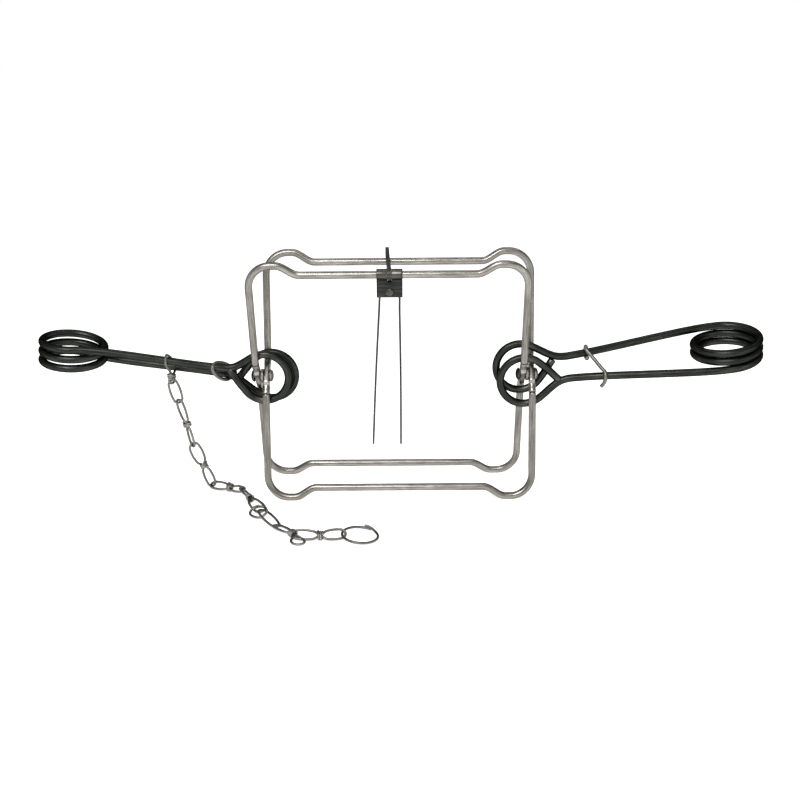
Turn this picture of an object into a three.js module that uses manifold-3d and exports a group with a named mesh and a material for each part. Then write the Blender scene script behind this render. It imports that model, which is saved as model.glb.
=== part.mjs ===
// Body grip trap: two square wire jaws hinged at mid height, a wound spring on each side whose
// rings embrace both jaws, a hanging trigger, a dog that holds the rear jaw, safety hooks and a chain.
// Millimetres, +Z up, X along the springs, -Y toward the side with the trigger.
import * as THREE from 'three';
import { mergeVertices } from 'three/addons/utils/BufferGeometryUtils.js';
import Module from 'manifold-3d';

const wasm = await Module();
wasm.setup();

// Driving dimensions of the jaws
const rodDia = 7;
const jawSpread = 254;
const cornerHeight = 112.8;
const cornerBump = 9.1;
const strikeDepth = 31.5;
const cornerRadius = 17;
const peakEnd = 23;
const rampEnd = 45;
const kinkDepth = 13.4;
const kinkHeight = 15;
const flatThick = 5.5;
const flatWide = 10.4;
const flatLength = 17;
const kinkBlend = 4;
const flatSquareShare = 0.4;
const standCut = 0.5;
const clearance = 0.3;

// Pivot rivets and washers
const washerThick = 2.54;
const washerDia = 13;
const rivetDia = 6;
const rivetHeadDia = 12;
const rivetHeadHeight = 3.4;
const domeShares = [{ height: 1, radius: 0.25 }, { height: 0.8, radius: 0.6 }, { height: 0.35, radius: 1 }];

// Springs: common sizes, then what differs between the spread right one and the closed left one,
// each with its distances out from the jaws' side
const wireDia = 7.2;
const coilRadius = 32.5;
const coilTurns = 2.5;
const ringRadius = 22;
const freeShort = 11.8;
const ringSteps = 18;
const kneeBlendShare = 0.2;
const rightSpring = {
  name: 'spring_right', side: 1, coilOut: 189.4, coilZ: 24.3, pitch: 7.9, coilTiltShare: 0.085,
  ringPlane: 4.3, upperRing: { out: -5.9, z: 5.4 }, lowerRing: { out: -2.5, z: -5.4 },
  upperKnee: { out: 32, z: 14 }, lowerKnee: { out: 36, z: -2.5 },
};
const leftSpring = {
  name: 'spring_left', side: -1, coilOut: 179.2, coilZ: 26, pitch: 8.5, coilTiltShare: 0.045,
  ringPlane: 6.6, upperRing: { out: -3.2, z: 0.4 }, lowerRing: { out: -7.2, z: -2.4 },
  upperKnee: { out: 30, z: 8.8 }, lowerKnee: { out: 30, z: 1.2 },
};

// Safety hooks, and where along the springs' arms each has its eye and lies over the other arm
const hookDia = 3;
const hookTail = 9;
const eyeTurnShare = 0.93;
const tailTurnShare = 0.03;
const hookSpots = [
  { spring: rightSpring, name: 'hook_right', eyeOut: 54, overOut: 70, upperEye: true, towards: -1 },
  { spring: leftSpring, name: 'hook_left', eyeOut: 44, overOut: 39, upperEye: false, towards: 1 },
];

// Trigger bracket, its rivet and the hairpin wire
const bracketX = -3.2;
const bracketWide = 23.4;
const bracketDrop = 20.4;
const sheetThick = 1.5;
const leafGap = 2.6;
const slotWide = 5;
const slotDrop = 8;
const bracketRivetDrop = 15.6;
const bracketRivetDia = 3;
const bracketRivetHeadDia = 7;
const bracketRivetHeadHeight = 1.3;
const triggerDia = 1.9;
const triggerLegHalf = 8.6;
const triggerCrossDrop = 10.6;
const triggerBend = 4.75;
const triggerLength = 163;
const leftLegSplay = 8.6;
const rightLegSplay = 0.4;

// Dog
const dogThick = 3.6;
const dogWall = 2.6;
const dogWide = 5.2;
const dogTip = 5.5;
const dogRise = 9;
const dogSkewShare = 0.044;
const dogEyeTurnShares = { top: 0.15, low: 0.93 };
const dogSaddleTurnShares = { near: 0.39, far: 0.17 };
const dogBellyShare = 0.4;
const dogBackShare = 0.9;

// Chain: wire, then the points where one link hangs in the next, out from the clip and across;
// the hanging ones also have their share of the drop
const chainDia = 2;
const linkHalf = 4.4;
const linkSlack = 0.9;
const landingTwistShare = 0.85;
const ringWireDia = 2.4;
const endRingRadius = 16;
const clipOut = 87.7;
const clipDrop = -4;
const clipBend = 3.2;
const floorRest = 0.05;
const hangingSpots = [
  { out: 5.2, y: 0, dropShare: 0.2266 },
  { out: 11.4, y: 0, dropShare: 0.4434 },
  { out: 15.5, y: 0, dropShare: 0.636 },
  { out: 24.8, y: 0, dropShare: 0.8312 },
];
const lyingSpots = [
  { out: 32.8, y: -3.8 }, { out: 51.2, y: -11.6 }, { out: 65, y: -17.9 }, { out: 74.5, y: -37.5 },
  { out: 90, y: -67 }, { out: 107.3, y: -99.9 }, { out: 125.7, y: -117.6 },
  { out: 149, y: -120.8 }, { out: 169.6, y: -117 },
];

// Counts of sides and steps
const rodSides = 12;
const wireSides = 8;
const thinSides = 6;
const turnSteps = 24;
const bendSteps = 4;
const cornerSteps = 6;
const loopSteps = 7;
const eyeSteps = 16;

const strikeHeight = cornerHeight - cornerBump;
const pivotGap = flatThick + washerThick + 2 * clearance;
const rodRadius = rodDia / 2;
const wireRadius = wireDia / 2;
const linkBite = (chainDia + linkSlack) / 2;
const floorZ = -(cornerHeight + rodRadius - standCut);
const sideX = jawSpread / 2;
const clipX = -(sideX + clipOut);

const jawSteel = new THREE.MeshStandardMaterial({ color: 0x77716a, roughness: 0.5, metalness: 0.8 });
const springSteel = new THREE.MeshStandardMaterial({ color: 0x353b38, roughness: 0.45, metalness: 0.8 });
const paleSteel = new THREE.MeshStandardMaterial({ color: 0xa5a099, roughness: 0.5, metalness: 0.8 });
const rivetSteel = new THREE.MeshStandardMaterial({ color: 0x6b6762, roughness: 0.55, metalness: 0.8 });

const vec = (x, y, z) => new THREE.Vector3(x, y, z);

// A closed body from points and triangles, turned so that its faces point out
function closedBody(points, faces) {
  const position = new Float32Array(points.flatMap((p) => [p.x, p.y, p.z]));
  let volume = 0;
  const cross = new THREE.Vector3();
  for (const [a, b, c] of faces) {
    volume += points[a].dot(cross.crossVectors(points[b], points[c]));
  }
  const index = faces.flatMap(([a, b, c]) => (volume > 0 ? [a, b, c] : [a, c, b]));
  const geometry = new THREE.BufferGeometry();
  geometry.setAttribute('position', new THREE.BufferAttribute(position, 3));
  geometry.setIndex(index);
  geometry.computeVertexNormals();
  return geometry;
}

// Skins a row of rings of equal length into one body, with flat ends unless it closes on itself
function skin(rings, closes) {
  const sides = rings[0].length;
  const faces = [];
  const last = closes ? rings.length : rings.length - 1;
  for (let i = 0; i < last; i += 1) {
    const next = (i + 1) % rings.length;
    for (let j = 0; j < sides; j += 1) {
      const k = (j + 1) % sides;
      faces.push([i * sides + j, i * sides + k, next * sides + k]);
      faces.push([i * sides + j, next * sides + k, next * sides + j]);
    }
  }
  if (!closes) {
    const end = (rings.length - 1) * sides;
    for (let j = 1; j < sides - 1; j += 1) {
      faces.push([0, j + 1, j]);
      faces.push([end, end + j, end + j + 1]);
    }
  }
  return closedBody(rings.flat(), faces);
}

function tangentAt(path, i, closes) {
  const n = path.length;
  const before = closes ? path[(i + n - 1) % n] : path[Math.max(i - 1, 0)];
  const after = closes ? path[(i + 1) % n] : path[Math.min(i + 1, n - 1)];
  return after.clone().sub(before).normalize();
}

// Round wire along points; the section is carried along without twist from the given normal
function wire(path, radius, sides, normal, closes = false) {
  const carried = normal.clone();
  const rings = path.map((point, i) => {
    const along = tangentAt(path, i, closes);
    carried.addScaledVector(along, -carried.dot(along)).normalize();
    const across = along.clone().cross(carried);
    return Array.from({ length: sides }, (_, j) => {
      const turn = (2 * Math.PI * j) / sides;
      return point.clone()
        .addScaledVector(carried, radius * Math.cos(turn))
        .addScaledVector(across, radius * Math.sin(turn));
    });
  });
  return skin(rings, closes);
}

// Points on an arc about a centre, from angle a to angle b, in the plane of two unit vectors
function arc(centre, radius, a, b, steps, u, v) {
  return Array.from({ length: steps + 1 }, (_, i) => {
    const turn = a + ((b - a) * i) / steps;
    return centre.clone()
      .addScaledVector(u, radius * Math.cos(turn))
      .addScaledVector(v, radius * Math.sin(turn));
  });
}

// A smooth run between two points with given directions, ends left out
function smoothRun(from, fromWay, to, toWay, steps, pullShare = 0.36) {
  const reach = from.distanceTo(to) * pullShare;
  const curve = new THREE.CubicBezierCurve3(
    from,
    from.clone().addScaledVector(fromWay, reach),
    to.clone().addScaledVector(toWay, -reach),
    to,
  );
  return curve.getPoints(steps).slice(1, -1);
}

function manifoldOf(geometry) {
  const bare = geometry.clone();
  bare.deleteAttribute('normal');
  bare.deleteAttribute('uv');
  const merged = mergeVertices(bare);
  return new wasm.Manifold(new wasm.Mesh({
    numProp: 3,
    vertProperties: merged.attributes.position.array,
    triVerts: new Uint32Array(merged.index.array),
  }));
}

function geometryOf(manifold) {
  const mesh = manifold.getMesh();
  const geometry = new THREE.BufferGeometry();
  geometry.setAttribute('position', new THREE.BufferAttribute(mesh.vertProperties, 3));
  geometry.setIndex(new THREE.BufferAttribute(mesh.triVerts, 1));
  geometry.computeVertexNormals();
  return geometry;
}

function named(name, geometry, material, parent) {
  const mesh = new THREE.Mesh(geometry, material);
  mesh.name = name;
  parent.add(mesh);
  return mesh;
}

// Height and depth of the jaw rod's centre line above the pivot
const slopeShare = (strikeDepth - kinkDepth) / (strikeHeight - kinkHeight);
const depthAt = (z) => kinkDepth + (z - kinkHeight) * slopeShare;

// One quarter of a jaw, from the pivot flat round the corner to the strike bar
function jawQuarter() {
  const tilt = Math.atan2(kinkDepth, kinkHeight);
  const onFlat = (t) => vec(sideX, -t * Math.sin(tilt), t * Math.cos(tilt));
  const onSide = (z) => vec(sideX, -depthAt(z), z);
  const flatEnd = flatLength / 2;
  const reach = Math.hypot(kinkDepth, kinkHeight);
  const stations = [];
  const flat = { wide: flatWide / 2, thick: flatThick / 2, power: flatSquareShare };
  const round = { wide: rodRadius, thick: rodRadius, power: 1 };
  const addFlat = (p) => stations.push({ p, ...flat });
  const addRound = (p) => stations.push({ p, ...round });
  addFlat(onFlat(0));
  addFlat(onFlat(flatEnd));
  addRound(onFlat(flatEnd + rodRadius));
  const bend = new THREE.QuadraticBezierCurve3(
    onFlat(reach - kinkBlend), onFlat(reach), onSide(kinkHeight + kinkBlend),
  );
  bend.getPoints(bendSteps).forEach(addRound);
  const arcZ = cornerHeight - cornerRadius;
  addRound(onSide((kinkHeight + arcZ) / 2));
  for (let i = 0; i <= cornerSteps; i += 1) {
    const turn = (Math.PI / 2) * (i / cornerSteps);
    const z = arcZ + cornerRadius * Math.sin(turn);
    const x = sideX - cornerRadius + cornerRadius * Math.cos(turn);
    addRound(vec(x, -depthAt(z), z));
  }
  for (let i = 0; i <= cornerSteps; i += 1) {
    const run = i / cornerSteps;
    const z = cornerHeight - (cornerBump * (1 - Math.cos(Math.PI * run))) / 2;
    const x = sideX - peakEnd - (rampEnd - peakEnd) * run;
    addRound(vec(x, -depthAt(z), z));
  }
  return stations;
}

// The whole front jaw as one closed rod
function jawGeometry() {
  const quarter = jawQuarter();
  const placed = (sx, sz) => quarter.map((s) => (
    { ...s, p: vec(s.p.x * sx, s.p.y * sz, s.p.z * sz) }
  ));
  const stations = [
    ...placed(1, 1), ...placed(-1, 1).reverse(),
    ...placed(-1, -1).slice(1), ...placed(1, -1).reverse().slice(0, -1),
  ];
  const path = stations.map((s) => s.p);
  const plane = vec(0, strikeHeight - kinkHeight, strikeDepth - kinkDepth).normalize();
  const rings = stations.map((s, i) => {
    const along = tangentAt(path, i, true);
    const wide = plane.clone().addScaledVector(along, -plane.dot(along)).normalize();
    const thick = along.clone().cross(wide);
    return Array.from({ length: rodSides }, (_, j) => {
      const turn = (2 * Math.PI * j) / rodSides;
      const c = Math.cos(turn);
      const n = Math.sin(turn);
      const point = s.p.clone()
        .addScaledVector(thick, s.thick * Math.sign(c) * Math.abs(c) ** s.power)
        .addScaledVector(wide, s.wide * Math.sign(n) * Math.abs(n) ** s.power);
      return point;
    });
  });
  return skin(rings, true);
}

// A disc-like body turned about X from a profile of [along, radius] pairs
function turnedX(profile, segments) {
  const points = profile.map(([along, radius]) => new THREE.Vector2(radius, along));
  return new THREE.LatheGeometry(points, segments).rotateZ(-Math.PI / 2);
}

function rivetProfile(grip, shank, head, height) {
  const dome = domeShares.map((share) => [height * share.height, head * share.radius]);
  return [
    [-grip / 2 - height, 0],
    ...dome.map(([a, r]) => [-grip / 2 - a, r]),
    [-grip / 2, head], [-grip / 2, shank], [grip / 2, shank], [grip / 2, head],
    ...dome.reverse().map(([a, r]) => [grip / 2 + a, r]),
    [grip / 2 + height, 0],
  ];
}

// A washer: closed ring profile turned about X
function washerGeometry() {
  const inner = rivetDia / 2 + clearance;
  const outer = washerDia / 2;
  const half = washerThick / 2;
  return turnedX([[-half, inner], [-half, outer], [half, outer], [half, inner], [-half, inner]], turnSteps);
}

const trap = new THREE.Group();
const frontJaw = new THREE.Group();
const rearJaw = new THREE.Group();
frontJaw.position.x = -pivotGap / 2;
rearJaw.position.x = pivotGap / 2;
rearJaw.rotation.z = Math.PI;
trap.add(frontJaw, rearJaw);

const rivetHole = turnedX([
  [-jawSpread, 0], [-jawSpread, rivetDia / 2 + clearance],
  [jawSpread, rivetDia / 2 + clearance], [jawSpread, 0],
], turnSteps);
const belowFloor = new THREE.BoxGeometry(2 * jawSpread, jawSpread, rodDia);
belowFloor.translate(0, 0, floorZ - rodRadius);
const boredJaw = geometryOf(
  manifoldOf(jawGeometry()).subtract(manifoldOf(rivetHole)).subtract(manifoldOf(belowFloor)),
);
named('jaw_front', boredJaw, jawSteel, frontJaw);
named('jaw_rear', boredJaw, jawSteel, rearJaw);

const grip = pivotGap + flatThick + 2 * clearance;
for (const [label, side] of [['left', -1], ['right', 1]]) {
  const profile = rivetProfile(grip, rivetDia / 2, rivetHeadDia / 2, rivetHeadHeight);
  const rivet = named(`pivot_rivet_${label}`, turnedX(profile, turnSteps), rivetSteel, trap);
  rivet.position.x = side * sideX;
  const washer = named(`pivot_washer_${label}`, washerGeometry(), rivetSteel, trap);
  washer.position.x = side * sideX;
}

// Centre line of a spring seen as the right one: upper arm behind, lower arm in front
function springLine(s) {
  const right = vec(1, 0, 0);
  const up = vec(0, 0, 1);
  const knees = [
    { rise: 1, y: s.ringPlane, ringAt: s.upperRing, knee: s.upperKnee },
    { rise: -1, y: -s.ringPlane, ringAt: s.lowerRing, knee: s.lowerKnee },
  ];
  const tiltUp = Math.asin(s.coilTiltShare);
  const coil = [];
  const steps = coilTurns * turnSteps;
  for (let i = -1; i <= steps + 1; i += 1) {
    const turn = (2 * Math.PI * i) / turnSteps;
    const z = s.pitch * (coilTurns / 2 - i / turnSteps);
    const local = vec(coilRadius * Math.sin(turn), coilRadius * Math.cos(turn), z);
    local.applyAxisAngle(right, tiltUp);
    coil.push(local.add(vec(sideX + s.coilOut, 0, s.coilZ)));
  }
  const ends = [coil[0], coil[coil.length - 1]];
  const endWays = [coil[1].clone().sub(coil[0]), coil[coil.length - 2].clone().sub(ends[1])];
  const runs = knees.map(({ rise, y, ringAt, knee }, i) => {
    const centre = vec(sideX + ringAt.out, y, ringAt.z);
    const kneeAt = vec(sideX + knee.out, y, knee.z);
    const apex = Math.acos(ringRadius / kneeAt.distanceTo(centre));
    const bearing = Math.atan2(kneeAt.z - centre.z, kneeAt.x - centre.x);
    const leave = bearing + rise * apex;
    const armWay = ends[i].clone().sub(kneeAt).normalize();
    const sweep = 2 * (Math.PI - apex);
    const ring = arc(centre, ringRadius, leave + rise * sweep, leave, ringSteps, right, up);
    const freeWay = kneeAt.clone().sub(ring[0]).normalize();
    const freeEnd = kneeAt.clone().addScaledVector(freeWay, -freeShort);
    const leaveWay = ring[ringSteps].clone().sub(ring[ringSteps - 1]).normalize();
    const kneeWay = armWay.clone().addScaledVector(leaveWay, kneeBlendShare).normalize();
    return [
      freeEnd,
      ...ring,
      ...smoothRun(ring[ringSteps], leaveWay, kneeAt, kneeWay, 5),
      kneeAt,
      ...smoothRun(kneeAt, kneeWay, ends[i], endWays[i].normalize(), 10),
    ];
  });
  return [...runs[0], ...coil, ...runs[1].reverse()];
}

// Least distance between stretches of the wire that are not next to each other, less its diameter
function leastGap(path, dia) {
  const reach = [0];
  for (let i = 1; i < path.length; i += 1) {
    reach.push(reach[i - 1] + path[i].distanceTo(path[i - 1]));
  }
  const line = new THREE.Line3();
  const near = new THREE.Vector3();
  let least = Infinity;
  for (let i = 0; i < path.length; i += 1) {
    for (let j = 1; j < path.length; j += 1) {
      if (Math.min(Math.abs(reach[j] - reach[i]), Math.abs(reach[j - 1] - reach[i])) > 3 * dia) {
        line.set(path[j - 1], path[j]).closestPointToPoint(path[i], true, near);
        least = Math.min(least, near.distanceTo(path[i]));
      }
    }
  }
  return least - dia;
}

const springLines = {};
for (const s of [rightSpring, leftSpring]) {
  const path = springLine(s);
  springLines[s.name] = path;
  console.log(`${s.name} least gap to itself ${leastGap(path, wireDia).toFixed(2)} mm`);
  const group = new THREE.Group();
  group.rotation.z = s.side > 0 ? 0 : Math.PI;
  trap.add(group);
  named(s.name, wire(path, wireRadius, wireSides, vec(0, 1, 0)), springSteel, group);
}

// Point of a spring's centre line at a distance along X, on its upper (first) or lower (last) arm
function armAt(path, x, upper) {
  const run = upper ? path : [...path].reverse();
  const start = run.findIndex((p, i) => i > ringSteps + 2 && p.x <= x && run[i + 1].x > x);
  const share = (x - run[start].x) / (run[start + 1].x - run[start].x);
  return run[start].clone().lerp(run[start + 1], share);
}

// Safety hook: an eye round one arm, a shank across to the other arm and a tail hanging past it
function hookPath(eyeBack, eye, over, towards) {
  const out = vec(0, towards, 0);
  const up = vec(0, 0, 1);
  const loop = wireRadius + hookDia / 2 + 2 * clearance;
  const touch = Math.PI / 2 + Math.atan2(over.z - eye.z, (over.y - eye.y) * towards);
  const eyeTurn = arc(eye, loop, touch + 2 * Math.PI * eyeTurnShare, touch, eyeSteps, out, up);
  const drift = eyeBack.clone().sub(eye);
  eyeTurn.forEach((p, i) => p.addScaledVector(drift, 1 - i / (eyeTurn.length - 1)));
  const overTurn = arc(over, loop, touch, -2 * Math.PI * tailTurnShare, loopSteps, out, up);
  const tail = overTurn[loopSteps].clone().addScaledVector(up, -hookTail);
  return [...eyeTurn, ...overTurn, tail];
}

for (const h of hookSpots) {
  const path = springLines[h.spring.name];
  const eye = armAt(path, sideX + h.eyeOut, h.upperEye);
  const over = armAt(path, sideX + h.overOut, !h.upperEye);
  const eyeBack = armAt(path, sideX + h.eyeOut - hookDia - clearance, h.upperEye);
  const hook = wire(hookPath(eyeBack, eye, over, h.towards), hookDia / 2, thinSides, vec(1, 0, 0));
  const holder = new THREE.Group();
  holder.rotation.z = h.spring.side > 0 ? 0 : Math.PI;
  trap.add(holder);
  named(h.name, hook, paleSteel, holder);
}

// Turns a side view drawn in depth and height into a body of a given width along X
function sheetAlongX(shape, width) {
  const geometry = new THREE.ExtrudeGeometry(shape, {
    depth: width, bevelEnabled: false, curveSegments: loopSteps,
  });
  geometry.translate(0, 0, -width / 2);
  return geometry.applyMatrix4(new THREE.Matrix4().makeBasis(vec(0, 1, 0), vec(0, 0, 1), vec(1, 0, 0)));
}

// Sheet folded over the strike bar, its two leaves side by side below, with a slot for the dog
function bracketGeometry() {
  const inner = rodRadius + clearance;
  const outer = inner + sheetThick;
  const insideLeaf = leafGap / 2;
  const outsideLeaf = insideLeaf + sheetThick;
  const outerZ = -Math.sqrt(outer ** 2 - outsideLeaf ** 2);
  const innerZ = -Math.sqrt(inner ** 2 - insideLeaf ** 2);
  const side = new THREE.Shape();
  side.moveTo(-outsideLeaf, -bracketDrop);
  side.lineTo(-outsideLeaf, outerZ);
  side.absarc(0, 0, outer, Math.atan2(outerZ, -outsideLeaf), Math.atan2(outerZ, outsideLeaf), true);
  side.lineTo(outsideLeaf, -bracketDrop);
  side.lineTo(insideLeaf, -bracketDrop);
  side.lineTo(insideLeaf, innerZ);
  side.absarc(0, 0, inner, Math.atan2(innerZ, insideLeaf), Math.atan2(innerZ, -insideLeaf), false);
  side.lineTo(-insideLeaf, -bracketDrop);
  const slot = new THREE.BoxGeometry(slotWide, 4 * outer, 2 * outer + slotDrop);
  slot.translate(0, 0, outer - slotDrop / 2);
  const holeRadius = bracketRivetDia / 2 + clearance;
  const hole = new THREE.CylinderGeometry(holeRadius, holeRadius, 4 * outer, turnSteps / 2);
  hole.translate(0, 0, -bracketRivetDrop);
  return geometryOf(
    manifoldOf(sheetAlongX(side, bracketWide)).subtract(manifoldOf(slot)).subtract(manifoldOf(hole)),
  );
}

// One wire bent to a hairpin; its cross run lies between the bracket's leaves
function triggerGeometry() {
  const leg = (side, splay) => {
    const top = vec(side * triggerLegHalf, 0, -triggerCrossDrop - triggerBend);
    const tip = vec(side * (triggerLegHalf + splay), 0, -triggerLength);
    const centre = vec(side * (triggerLegHalf - triggerBend), 0, -triggerCrossDrop - triggerBend);
    const corner = arc(centre, triggerBend, Math.PI / 2, 0, bendSteps, vec(side, 0, 0), vec(0, 0, 1));
    return [...corner.slice(0, -1), top, top.clone().lerp(tip, 1 / 2), tip];
  };
  const path = [...leg(-1, leftLegSplay).reverse(), ...leg(1, rightLegSplay)];
  return wire(path, triggerDia / 2, thinSides, vec(0, -1, 0));
}

const barPlace = vec(bracketX, -strikeDepth, strikeHeight);
named('trigger_bracket', bracketGeometry(), springSteel, trap).position.copy(barPlace);
named('trigger_wire', triggerGeometry(), springSteel, trap).position.copy(barPlace);
const bracketGrip = leafGap + 2 * sheetThick + 2 * clearance;
const bracketRivetProfile = rivetProfile(
  bracketGrip, bracketRivetDia / 2, bracketRivetHeadDia / 2, bracketRivetHeadHeight,
);
const bracketRivet = new THREE.LatheGeometry(
  bracketRivetProfile.map(([along, radius]) => new THREE.Vector2(radius, along)), turnSteps / 2,
);
named('bracket_rivet', bracketRivet, paleSteel, trap).position.copy(barPlace)
  .add(vec(0, 0, -bracketRivetDrop));

// Flat bar with an eye round the front strike bar, lying over the rear one with a raised nose
function dogGeometry() {
  const bore = rodRadius + clearance;
  const outer = bore + dogWall;
  const reach = 2 * strikeDepth;
  const side = new THREE.Shape();
  const topJoin = 2 * Math.PI * dogEyeTurnShares.top;
  const lowJoin = 2 * Math.PI * dogEyeTurnShares.low;
  const saddle = [dogSaddleTurnShares.near, dogSaddleTurnShares.far].map((share) => 2 * Math.PI * share);
  side.moveTo(outer * Math.cos(topJoin), outer * Math.sin(topJoin));
  side.absarc(0, 0, outer, topJoin, lowJoin, false);
  side.lineTo(reach - 2 * bore, bore - rodRadius * dogBellyShare);
  side.absarc(reach, 0, bore + clearance / 2, ...saddle, true);
  side.lineTo(reach + dogTip, bore + clearance);
  side.lineTo(reach + dogTip + dogWall / 2, bore + dogRise);
  side.lineTo(reach + dogTip - dogWall, bore + dogRise);
  side.lineTo(reach - dogWall, bore + dogWide);
  side.lineTo(reach / 2, outer * dogBackShare);
  const hole = new THREE.Path();
  hole.absarc(0, 0, bore, 0, 2 * Math.PI, true);
  side.holes.push(hole);
  return sheetAlongX(side, dogThick);
}
const dog = named('dog', dogGeometry(), paleSteel, trap);
dog.position.copy(barPlace);
dog.rotation.z = dogSkewShare;

// Closed loop round a set of circles in the plane across X, as a wire pulled tight round them lies
function tightLoop(x, circles) {
  const dots = circles.flatMap(({ y, z, r }) => Array.from({ length: turnSteps }, (_, i) => {
    const turn = (2 * Math.PI * i) / turnSteps;
    return { y: y + r * Math.cos(turn), z: z + r * Math.sin(turn) };
  }));
  dots.sort((a, b) => a.y - b.y || a.z - b.z);
  const half = (points) => {
    const kept = [];
    for (const p of points) {
      while (kept.length > 1) {
        const [a, b] = kept.slice(-2);
        if ((b.y - a.y) * (p.z - a.z) - (b.z - a.z) * (p.y - a.y) > 0) {
          break;
        }
        kept.pop();
      }
      kept.push(p);
    }
    return kept.slice(0, -1);
  };
  return [...half(dots), ...half([...dots].reverse())].map((p) => vec(x, p.y, p.z));
}

// The clip that the chain hangs from: one wire round both arms of the left spring
const clipArms = [true, false].map((upper) => armAt(springLines.spring_left, -clipX, upper));
const clipRadius = wireRadius + chainDia / 2 + 2 * clearance;
const clipLoop = tightLoop(-clipX, [
  ...clipArms.map((p) => ({ y: p.y, z: p.z, r: clipRadius })),
  { y: 0, z: clipDrop, r: clipBend },
]);
const clipHolder = new THREE.Group();
clipHolder.rotation.z = Math.PI;
trap.add(clipHolder);
named('chain_clip', wire(clipLoop, chainDia / 2, thinSides, vec(1, 0, 0), true), paleSteel, clipHolder);

// Oval link between two hanging points, turned about its own length by a roll
function linkGeometry(from, to, halfWidth, roll) {
  const along = to.clone().sub(from).normalize();
  const level = along.clone().cross(vec(0, 0, 1)).normalize();
  const rise = level.clone().cross(along);
  const wide = level.clone().multiplyScalar(Math.cos(roll)).addScaledVector(rise, Math.sin(roll));
  const inset = halfWidth - linkBite;
  const start = from.clone().addScaledVector(along, inset);
  const finish = to.clone().addScaledVector(along, -inset);
  const path = [
    ...arc(start, halfWidth, Math.PI / 2, (3 * Math.PI) / 2, loopSteps, along, wide),
    ...arc(finish, halfWidth, -Math.PI / 2, Math.PI / 2, loopSteps, along, wide),
  ];
  return wire(path, chainDia / 2, thinSides, along.clone().cross(wide), true);
}

const chain = new THREE.Group();
const lieHeight = floorZ + floorRest + chainDia / 2 + linkHalf * Math.SQRT1_2;
const hangingJoints = [
  vec(clipX, 0, clipDrop - clipBend + linkBite),
  ...hangingSpots.map((spot) => vec(clipX + spot.out, spot.y, lieHeight * spot.dropShare)),
];
const lyingJoints = lyingSpots.map((spot) => vec(clipX + spot.out, spot.y, lieHeight));
const chainJoints = [...hangingJoints, ...lyingJoints];
chainJoints.slice(1).forEach((to, i) => {
  const twistShare = i === hangingJoints.length - 1 ? landingTwistShare : 1;
  const roll = (i % 2 ? 1 : -1) * twistShare * (Math.PI / 4);
  named(`chain_link_${i + 1}`, linkGeometry(chainJoints[i], to, linkHalf, roll), paleSteel, chain);
});

// End ring, leaning on the floor with its near side in the last link
const ringNear = chainJoints[chainJoints.length - 1];
const ringLevel = floorZ + floorRest + ringWireDia / 2;
const ringBite = (ringWireDia + linkSlack) / 2;
const ringLean = Math.asin((ringNear.z - ringLevel) / (2 * endRingRadius));
const ringWay = vec(Math.cos(ringLean), 0, -Math.sin(ringLean));
const ringCentre = ringNear.clone().addScaledVector(ringWay, endRingRadius - ringBite);
const endRing = arc(ringCentre, endRingRadius, 0, 2 * Math.PI, turnSteps, ringWay, vec(0, 1, 0));
endRing.pop();
const ringUp = ringWay.clone().cross(vec(0, 1, 0));
named('chain_end_ring', wire(endRing, ringWireDia / 2, thinSides, ringUp, true), paleSteel, chain);

// The origin lies below the middle of the trap, on the surface that it stands on
const box = new THREE.Box3().setFromObject(trap, true);
const part = new THREE.Group();
part.add(trap, chain);
const shift = vec(-(box.min.x + box.max.x) / 2, -(box.min.y + box.max.y) / 2, -box.min.z);
trap.position.copy(shift);
chain.position.copy(shift);
console.log(`pivot line at ${shift.toArray().map((v) => v.toFixed(3))}`);

export default part;
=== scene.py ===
# Body grip trap: the camera, each wire bent along the part's own lines, worn steel with painted highlights
# and painted shade, and a pale floor.
import math

import bmesh
import bpy
from mathutils import Matrix, Vector


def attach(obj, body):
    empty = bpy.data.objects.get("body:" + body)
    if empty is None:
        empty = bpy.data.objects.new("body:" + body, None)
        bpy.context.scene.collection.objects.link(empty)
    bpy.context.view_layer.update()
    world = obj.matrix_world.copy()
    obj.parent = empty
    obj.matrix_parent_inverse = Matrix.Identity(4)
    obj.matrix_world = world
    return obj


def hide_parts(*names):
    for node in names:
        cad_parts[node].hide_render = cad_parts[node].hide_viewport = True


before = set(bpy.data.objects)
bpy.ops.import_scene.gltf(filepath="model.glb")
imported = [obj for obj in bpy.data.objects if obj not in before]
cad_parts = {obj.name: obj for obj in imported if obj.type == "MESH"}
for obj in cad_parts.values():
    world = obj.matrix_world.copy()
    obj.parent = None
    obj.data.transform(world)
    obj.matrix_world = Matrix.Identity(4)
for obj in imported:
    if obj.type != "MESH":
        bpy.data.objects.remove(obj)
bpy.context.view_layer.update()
scene = bpy.context.scene

# Sizes are in millimetres, measured from the middle of the pivot line; row() puts them in the row frame
MM = 0.001
PIVOT = Vector((-5.107, -0.185, 115.8))
UP = Vector((0, 0, 1))
RIGHT = Vector((1, 0, 0))
AWAY = Vector((0, 1, 0))
TURN = 2 * math.pi
HALF_TURN = Matrix.Rotation(math.pi, 4, "Z")
AS_IS = Matrix.Identity(4)


def row(point):
    return (Vector(point) + PIVOT) * MM


# Camera
CAMERA_AT = Vector((11.7, -943.6, 288.9))
CAMERA_AIM = Vector((5.02, 0, -25.86))
CAMERA_ROLL = math.radians(-0.54)
CAMERA_LENS = 46.17
CAMERA_SENSOR = 36


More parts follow.
